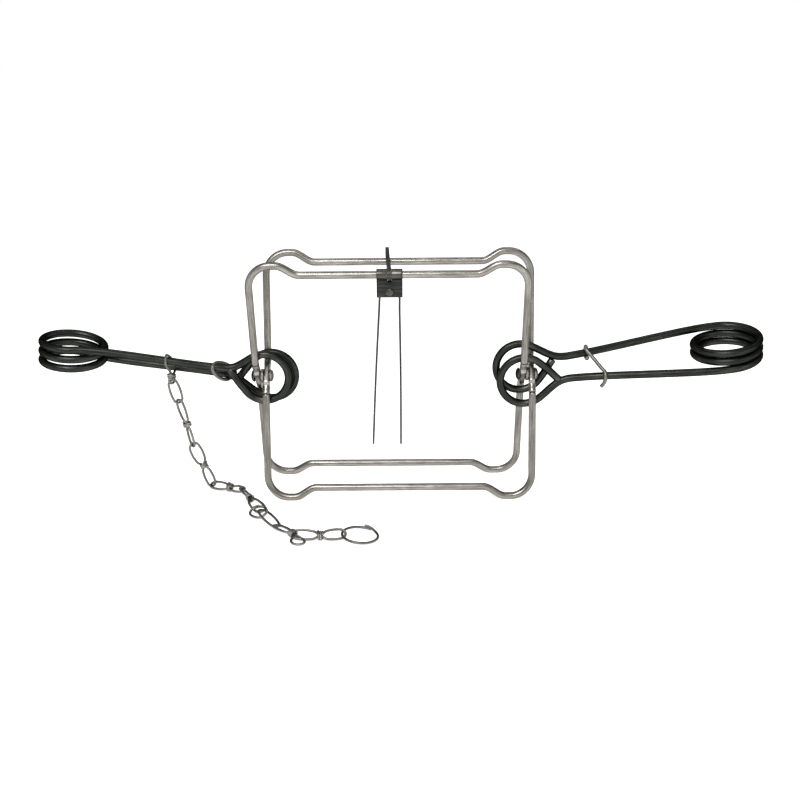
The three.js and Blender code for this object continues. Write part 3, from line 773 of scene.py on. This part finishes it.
hooks = (
    ("right", "right_hook", hook_line(spring_lines["right"], 56.6, 72.6, True, -1, right_tail)),
    ("left", "left_spring", ring_hook_line(spring_lines["left"])),
)
for label, rides, line in hooks:
    body = wire(through(line), HOOK_RADIUS, RIGHT, sides=14, cut=0.4)
    piece(f"{label}_safety_hook", body, PALE, rides, [f"hook_{label}"], place=places[label])


# Bracket, dog and trigger
def prism(outline, width):
    """A side view drawn as (depth, height) made into a body along X, with an edge loop near each end."""
    count = len(outline)
    rim = width / 2 - min(PRISM_RIM, width / 6)
    slices = (-width / 2, -rim, rim, width / 2)
    points = [(x, y, z) for x in slices for y, z in outline]
    last = count * (len(slices) - 1)
    faces = [tuple(range(count)), tuple(range(last + count - 1, last - 1, -1))]
    for base in range(0, last, count):
        for i in range(count):
            n = (i + 1) % count
            faces.append((base + i, base + n, base + count + n, base + count + i))
    mesh = bpy.data.meshes.new("prism")
    mesh.from_pydata(points, [], faces)
    return solid_of(mesh)


def solid_of(mesh):
    worked = bmesh.new()
    worked.from_mesh(mesh)
    bmesh.ops.recalc_face_normals(worked, faces=worked.faces)
    worked.to_mesh(mesh)
    worked.free()
    made = bpy.data.objects.new("solid", mesh)
    scene.collection.objects.link(made)
    return made


def cylinder(radius, length, matrix):
    worked = bmesh.new()
    bmesh.ops.create_cone(
        worked, cap_ends=True, segments=32, radius1=radius, radius2=radius, depth=length, matrix=matrix,
    )
    mesh = bpy.data.meshes.new("cylinder")
    worked.to_mesh(mesh)
    worked.free()
    return solid_of(mesh)


def carved(solid, *cutters):
    """The mesh data of the solid without the cutters, edges eased by a small bevel."""
    for cutter in cutters:
        cut = solid.modifiers.new("cut", "BOOLEAN")
        cut.operation = "DIFFERENCE"
        cut.solver = "EXACT"
        cut.object = cutter
    bevel = solid.modifiers.new("bevel", "BEVEL")
    bevel.width = PLATE_BEVEL
    bevel.segments = 2
    bevel.limit_method = "ANGLE"
    bevel.angle_limit = BEVEL_ANGLE
    whole = solid.evaluated_get(bpy.context.evaluated_depsgraph_get()).to_mesh()
    points = [v.co.copy() for v in whole.vertices]
    faces = [tuple(f.vertices) for f in whole.polygons]
    for used in (solid, *cutters):
        bpy.data.objects.remove(used)
    return points, faces


def shaped(points, faces, centre, marking, skew=0.0):
    turn = Matrix.Rotation(skew, 3, "Z")
    spots = [centre + turn @ p for p in points]
    return spots, faces, [(p.x, p.y, p.z) for p in points], [marking(p) for p in points]


def rounded(centre, radius, start, stop, steps):
    y, z = centre
    return [
        (y + radius * math.cos(start + (stop - start) * i / steps),
         z + radius * math.sin(start + (stop - start) * i / steps))
        for i in range(steps + 1)
    ]


def bracket_body():
    inner = ROD_RADIUS + CLEARANCE
    outer = inner + SHEET_THICK
    near = LEAF_GAP / 2
    far = near + SHEET_THICK
    outer_z = -math.sqrt(outer ** 2 - far ** 2)
    inner_z = -math.sqrt(inner ** 2 - near ** 2)
    a = math.atan2(outer_z, -far)
    b = math.atan2(outer_z, far)
    c = math.atan2(inner_z, near)
    d = math.atan2(inner_z, -near)
    outline = [
        (-far, -BRACKET_DROP), *rounded((0, 0), outer, a, b - TURN, 36), (far, -BRACKET_DROP),
        (near, -BRACKET_DROP), *rounded((0, 0), inner, c, d + TURN, 32), (-near, -BRACKET_DROP),
    ]
    outline = [p for i, p in enumerate(outline) if p != outline[i - 1]]
    slot = prism([
        (-2 * outer, -SLOT_DROP), (2 * outer, -SLOT_DROP), (2 * outer, 2 * outer), (-2 * outer, 2 * outer),
    ], SLOT_WIDE)
    across = Matrix.Translation((0, 0, -BRACKET_RIVET_DROP)) @ Matrix.Rotation(TURN / 4, 4, "X")
    hole = cylinder(BRACKET_RIVET_RADIUS + CLEARANCE, 4 * outer, across)
    points, faces = carved(prism(outline, BRACKET_WIDE), slot, hole)
    return shaped(points, faces, BAR_PLACE, bracket_mark)


def bracket_mark(p):
    """Dark at the leaves' upright edges, with a painted highlight on the crown of the fold."""
    edge = -0.6 if abs(p.x) > BRACKET_WIDE / 2 - 0.5 else 0
    return edge + (0.9 * max(0, 1 - abs(p.y + 3.6) / 3) if p.z > -2 else 0)


def dog_body():
    bore = ROD_RADIUS + CLEARANCE
    outer = bore + DOG_WALL
    reach = 2 * STRIKE_DEPTH
    outline = [
        *rounded((0, 0), outer, TURN * 0.15, TURN * 0.93, 28),
        (reach - 2 * bore, bore - ROD_RADIUS * 0.4),
        *rounded((reach, 0), bore + CLEARANCE / 2, TURN * 0.39, TURN * 0.17, 10),
        (reach + DOG_TIP, bore + CLEARANCE),
        (reach + DOG_TIP + DOG_WALL / 2, bore + DOG_RISE),
        (reach + DOG_TIP - DOG_WALL, bore + DOG_RISE),
        (reach - DOG_WALL, bore + DOG_WIDE),
        (reach / 2, outer * 0.9),
    ]
    hole = cylinder(bore, 4 * DOG_THICK, Matrix.Rotation(TURN / 4, 4, "Y"))
    points, faces = carved(prism(outline, DOG_THICK), hole)
    return shaped(points, faces, BAR_PLACE, dog_mark, DOG_SKEW)


def dog_mark(p):
    # Painted shade on the collar round the bar; the mark also darkens towards the tip.
    return -0.5 * (1 - eased(p.y / 9)) - 0.6 * eased((p.y - 40) / 20)


piece("trigger_plate", bracket_body(), SPRING, "trigger", ["trigger_bracket"], crisp=30)
piece("dog_bar", dog_body(), PALE, "dog", ["dog"], crisp=30)
leaf_grip = LEAF_GAP + 2 * SHEET_THICK + 2 * CLEARANCE
plate_rivet = rivet_body(
    leaf_grip, BRACKET_RIVET_RADIUS, BRACKET_HEAD_RADIUS, BRACKET_HEAD_HEIGHT, False,
    BAR_PLACE - UP * BRACKET_RIVET_DROP, dimple=0.3,
)
piece("trigger_plate_rivet", plate_rivet, PALE, "trigger", ["bracket_rivet"])


def hairpin_line():
    def leg(side, splay):
        drop = -TRIGGER_CROSS_DROP - TRIGGER_BEND
        top = Vector((side * TRIGGER_LEG_HALF, 0, drop))
        tip = Vector((side * (TRIGGER_LEG_HALF + splay), 0, -TRIGGER_LENGTH))
        centre = Vector((side * (TRIGGER_LEG_HALF - TRIGGER_BEND), 0, drop))
        corner = arc(centre, TRIGGER_BEND, TURN / 4, 0, 6, RIGHT * side, UP)
        bow = RIGHT * (side * TRIGGER_BOW)
        bowed = [top.lerp(tip, k / 8) + bow * math.sin(math.pi * k / 8) for k in range(1, 8)]
        return [*corner, *bowed, tip]

    line = [*leg(-1, LEFT_SPLAY)[::-1], *leg(1, RIGHT_SPLAY)]
    return [BAR_PLACE + p for p in line]


body = wire(through(hairpin_line()), TRIGGER_RADIUS, sides=12, cut=0.25)
piece("trigger_hairpin", body, SPRING, "trigger", ["trigger_wire"])


# Chain: each loop is one strand from its knot out round the tip and back, wrapped at the knot
def across(along, roll):
    level = along.cross(UP).normalized()
    rise = level.cross(along)
    return level * math.cos(roll) + rise * math.sin(roll)


def loop_side(knot, tip, half, roll):
    """One loop's strand from beside the knot round its tip and back to the knot's other side."""
    along = (tip - knot).normalized()
    wide = across(along, roll)
    length = (tip - knot).length
    inset = half - LINK_BITE
    round_tip = arc(tip - along * inset, half, -TURN / 4, TURN / 4, 8, along, wide)
    strand = [
        (0.1, WAIST * 1.15), (0.25, WAIST + (half - WAIST) * 0.72), (0.44, WAIST + (half - WAIST) * 0.98),
    ]
    free = length - inset
    out = [knot + along * (free * share) - wide * aside for share, aside in strand]
    home = [knot + along * (free * share) + wide * aside for share, aside in strand[::-1]]
    return [*out, *round_tip, *home], wide


def knot_wrap(knot, axis, wide, turns=WRAP_TURNS):
    """The wire's end wound round both strands, its cut ends standing a little proud."""
    thin = axis.cross(wide).normalized()
    wide = thin.cross(axis)
    steps = int(turns * WRAP_TURN_STEPS)
    line = []
    for i in range(steps + 1):
        turn = TURN * turns * i / steps
        lift = 1 + 0.35 * max(0, 1 - min(i, steps - i) / 3)
        a = (WAIST + 2 * CHAIN_RADIUS) * 0.98 * lift
        b = 2 * CHAIN_RADIUS * 1.04 * lift
        slide = WRAP_PITCH * turns * (i / steps - 0.5)
        line.append(knot + axis * slide + wide * (a * math.cos(turn)) + thin * (b * math.sin(turn)))
    return wire(through(line, cuts=2), CHAIN_RADIUS, axis, sides=CHAIN_SIDES, cut=0.2)


def double_loop(first_tip, knot, last_tip, rolls, halves):
    """Two loops of one wire with a knot between them."""
    one, wide_one = loop_side(knot, first_tip, halves[0], rolls[0])
    two, wide_two = loop_side(knot, last_tip, halves[1], rolls[1])
    axis = (last_tip - first_tip).normalized()
    if wide_one.dot(wide_two) > 0:
        two = two[::-1]
    strands = wire(through([*one, *two[::-1]], True), CHAIN_RADIUS, axis, True, sides=CHAIN_SIDES)
    return joined(strands, knot_wrap(knot, axis, (wide_one + wide_two * 0.5).normalized()))


def oval(first_tip, last_tip, half, roll):
    """One plain loop from tip to tip."""
    along = (last_tip - first_tip).normalized()
    wide = across(along, roll)
    start = first_tip + along * (half - LINK_BITE)
    stop = last_tip - along * (half - LINK_BITE)
    line = [
        *arc(start, half, TURN / 4, TURN * 0.75, 8, along, wide),
        *arc(stop, half, -TURN / 4, TURN / 4, 8, along, wide),
    ]
    return wire(through(line, True), CHAIN_RADIUS, along.cross(wide), True, sides=CHAIN_SIDES)


spots = [Vector(p) for p in CHAIN_SPOTS]
piece("chain_loop_top", oval(spots[0], spots[1], LINK_HALF, TOP_LOOP_ROLL), PALE, "chain_top",
      ["chain_link_1"])
# Each unit of two loops: the first of its three points, the turn of each loop, its half widths, its nodes
units = (
    ("second", 1, (-54, 37), (LINK_HALF, LINK_HALF), [2, 3]),
    ("third", 3, (52, -80), (HANGING_HALF, LINK_HALF), [4, 5]),
    ("fourth", 5, (22, -10), (LINK_HALF, LINK_HALF), [6, 7]),
    ("fifth", 7, (-37, -10), (LINK_HALF, LINK_HALF * 1.1), [8, 9]),
    ("last", 11, (32, -38), (LINK_HALF, LINK_HALF), [12, 13]),
)
for label, at, rolls, halves, links in units:
    turns = [math.radians(degrees) for degrees in rolls]
    body = double_loop(spots[at], spots[at + 1], spots[at + 2], turns, halves)
    piece(f"chain_loops_{label}", body, PALE, "chain", [f"chain_link_{n}" for n in links])
piece("chain_loop_plain", oval(spots[9], spots[10], LINK_HALF, PLAIN_LOOP_ROLL), PALE, "chain",
      ["chain_link_10"])


def loose_unit():
    """The loop before the last pair, with its second loop fallen loose on the floor."""
    knot = spots[11] - (spots[11] - spots[10]).normalized() * 2.5
    held, wide = loop_side(knot, spots[10], LINK_HALF, HELD_LOOP_ROLL)
    low = FLOOR_Z + CHAIN_RADIUS + 0.1
    fallen = [
        Vector((-90.5, -121.5, low + 1.6)), Vector((-91.5, -126, low + 0.4)), Vector((-88.5, -130.5, low)),
        Vector((-84, -132, low)), Vector((-79.5, -129, low)), Vector((-80, -124.5, low + 0.6)),
        Vector((-84.5, -121, low + 1.8)),
    ]
    strands = wire(through([*held, *fallen], True), CHAIN_RADIUS, UP, True, sides=CHAIN_SIDES)
    axis = (spots[11] - spots[10]).normalized()
    return joined(strands, knot_wrap(knot, axis, wide, turns=2.6))


piece("chain_loops_loose", loose_unit(), PALE, "chain", ["chain_link_11"])

# A bent wire clip shut round the ninth loop's end
clip_line = [spots[9] + Vector(p) for p in FOLDED_CLIP]
folded = wire(through(clip_line), CHAIN_RADIUS, UP, sides=CHAIN_SIDES, cut=0.2)
piece("chain_folded_clip", folded, PALE, "chain", ["chain_link_9"])


def end_ring_body():
    """A ring of wire whose ends lie side by side for a short way."""
    near = spots[13]
    level = FLOOR_Z + 0.05 + RING_WIRE_RADIUS
    lean = math.asin((near.z - level) / (2 * END_RING_RADIUS))
    way = Vector((math.cos(lean), 0, -math.sin(lean)))
    centre = near + way * (END_RING_RADIUS - 1.65)
    normal = way.cross(AWAY)
    line = []
    steps = 48
    start, stop = math.radians(52), math.radians(52 + 360 + 26)
    for i in range(steps + 1):
        share = i / steps
        turn = start + (stop - start) * share
        beyond = max(0, share - 0.86) / 0.14
        radius = END_RING_RADIUS - 0.4 * eased(beyond)
        rise = normal * (RING_WIRE_RADIUS * 1.9 * eased(beyond * 1.2))
        line.append(centre + way * (radius * math.cos(turn)) + AWAY * (radius * math.sin(turn)) + rise)
    return wire(through(line, cuts=3), RING_WIRE_RADIUS, normal, sides=14, cut=0.35)


piece("chain_end_hoop", end_ring_body(), PALE, "end_ring", ["chain_end_ring"])


def clip_body():
    """The wire round both arms of the left spring, pinched into the eye that the chain hangs in."""
    line = spring_lines["left"]
    arms = [arm_at(line, CLIP_X, upper) for upper in (True, False)]
    radius = WIRE_RADIUS + CHAIN_RADIUS + 2 * CLEARANCE
    waist_z = CLIP_EYE_Z + 4.6
    dots = []
    for y, z, r in [*[(p.y, p.z, radius) for p in arms], (0, waist_z, WAIST)]:
        dots += [(y + r * math.cos(TURN * i / 32), z + r * math.sin(TURN * i / 32)) for i in range(32)]
    hull = convex(dots)
    low = min(range(len(hull)), key=lambda i: hull[i][1])
    hull = [p for p in hull[low:] + hull[:low] if p[1] > waist_z + 0.5]
    upper = [Vector((CLIP_X, y, z)) for y, z in hull]
    turned_out = Vector((0.64, 0.77, 0))
    eye_centre = Vector((CLIP_X, 0, CLIP_EYE_Z))
    eye = arc(eye_centre, CLIP_EYE_RADIUS, TURN * 0.36, TURN * 1.14, 12, turned_out, UP)
    strands = wire(through([*upper, *eye], True), CHAIN_RADIUS, RIGHT, True, sides=CHAIN_SIDES)
    knot = knot_wrap(Vector((CLIP_X, 0, waist_z - 0.4)), UP, turned_out, turns=2.2)
    return joined(strands, knot)


def convex(dots):
    """The outline of the dots' convex hull, in order round it."""
    dots = sorted(dots)

    def half(points):
        kept = []
        for p in points:
            while len(kept) > 1:
                (ay, az), (by, bz) = kept[-2:]
                if (by - ay) * (p[1] - az) - (bz - az) * (p[0] - ay) > 1e-9:
                    break
                kept.pop()
            kept.append(p)
        return kept[:-1]

    return half(dots) + half(dots[::-1])


piece("chain_clip_wire", clip_body(), PALE, "left_spring", ["chain_clip"], place=HALF_TURN)


# Floor, lamps and world
def light_share(nodes, links, extra):
    """1 on rays from the camera, in gloss and through glass, 0 on the others, times the extra."""
    path = nodes.new("ShaderNodeLightPath")
    total = None
    for name in ("Is Camera Ray", "Is Glossy Ray", "Is Transmission Ray"):
        if total is None:
            total = path.outputs[name]
        else:
            most = nodes.new("ShaderNodeMath")
            most.operation = "MAXIMUM"
            links.new(total, most.inputs[0])
            links.new(path.outputs[name], most.inputs[1])
            total = most.outputs[0]
    scaled = nodes.new("ShaderNodeMath")
    scaled.operation = "MULTIPLY"
    scaled.inputs[1].default_value = extra
    links.new(total, scaled.inputs[0])
    return scaled.outputs[0]


def add_floor():
    mesh = bpy.data.meshes.new("floor")
    far = FLOOR_REACH
    mesh.from_pydata([(-far, -far, 0), (far, -far, 0), (far, far, 0), (-far, far, 0)], [], [(0, 1, 2, 3)])
    floor = bpy.data.objects.new("floor", mesh)
    scene.collection.objects.link(floor)
    material = bpy.data.materials.new("floor_white")
    material.use_nodes = True
    nodes, links = material.node_tree.nodes, material.node_tree.links
    shader = nodes["Principled BSDF"]
    shader.inputs["Base Color"].default_value = (0.9, 0.9, 0.9, 1)
    shader.inputs["Roughness"].default_value = 1
    shader.inputs["Specular IOR Level"].default_value = 0
    shader.inputs["Emission Color"].default_value = (1, 1, 1, 1)
    links.new(light_share(nodes, links, FLOOR_GLOW), shader.inputs["Emission Strength"])
    mesh.materials.append(material)


def add_world():
    """White to the camera; in gloss and glass white round the horizon with a dim ceiling above."""
    world = bpy.data.worlds.new("studio")
    world.use_nodes = True
    nodes, links = world.node_tree.nodes, world.node_tree.links

    def value(kind, *inputs, **settings):
        node = nodes.new("ShaderNode" + kind)
        for key, setting in settings.items():
            setattr(node, key, setting)
        for socket, given in zip(node.inputs, inputs):
            if isinstance(given, bpy.types.NodeSocket):
                links.new(given, socket)
            else:
                socket.default_value = given
        return node.outputs[0]

    background = nodes["Background"]
    background.inputs["Color"].default_value = (1, 1, 1, 1)
    path = nodes.new("ShaderNodeLightPath")
    way = nodes.new("ShaderNodeSeparateXYZ")
    links.new(nodes.new("ShaderNodeTexCoord").outputs["Generated"], way.inputs[0])
    ceiling = value("MapRange", way.outputs["Z"], CEILING_START, CEILING_FULL, 1.0, CEILING_LEVEL)
    mirrored = value("Math", path.outputs["Is Glossy Ray"], path.outputs["Is Transmission Ray"],
                     operation="MAXIMUM")
    unlit = value("Math", mirrored, value("Math", ceiling, WORLD_LEVEL, operation="SUBTRACT"),
                  operation="MULTIPLY")
    level = value("Math", unlit, WORLD_LEVEL)
    seen = value("Math", path.outputs["Is Camera Ray"], level, operation="MAXIMUM")
    links.new(seen, background.inputs["Strength"])
    scene.world = world


def add_lamp(name, place, size, watts):
    data = bpy.data.lights.new(name, "AREA")
    data.shape = "RECTANGLE"
    data.size, data.size_y = size
    data.energy = watts
    lamp = bpy.data.objects.new(name, data)
    lamp.location = place
    lamp.rotation_euler = (Vector(LAMP_AIM) - Vector(place)).to_track_quat("-Z", "Y").to_euler()
    scene.collection.objects.link(lamp)


add_floor()
add_world()
add_lamp("key", (-0.5, -1.35, 1.6), (1.1, 0.5), 33)
add_lamp("fill", (1.3, -1.2, 0.7), (0.7, 0.7), 4)
add_lamp("top", (0.1, 0.4, 1.6), (1.6, 0.3), 5)

scene.view_settings.view_transform = "Standard"
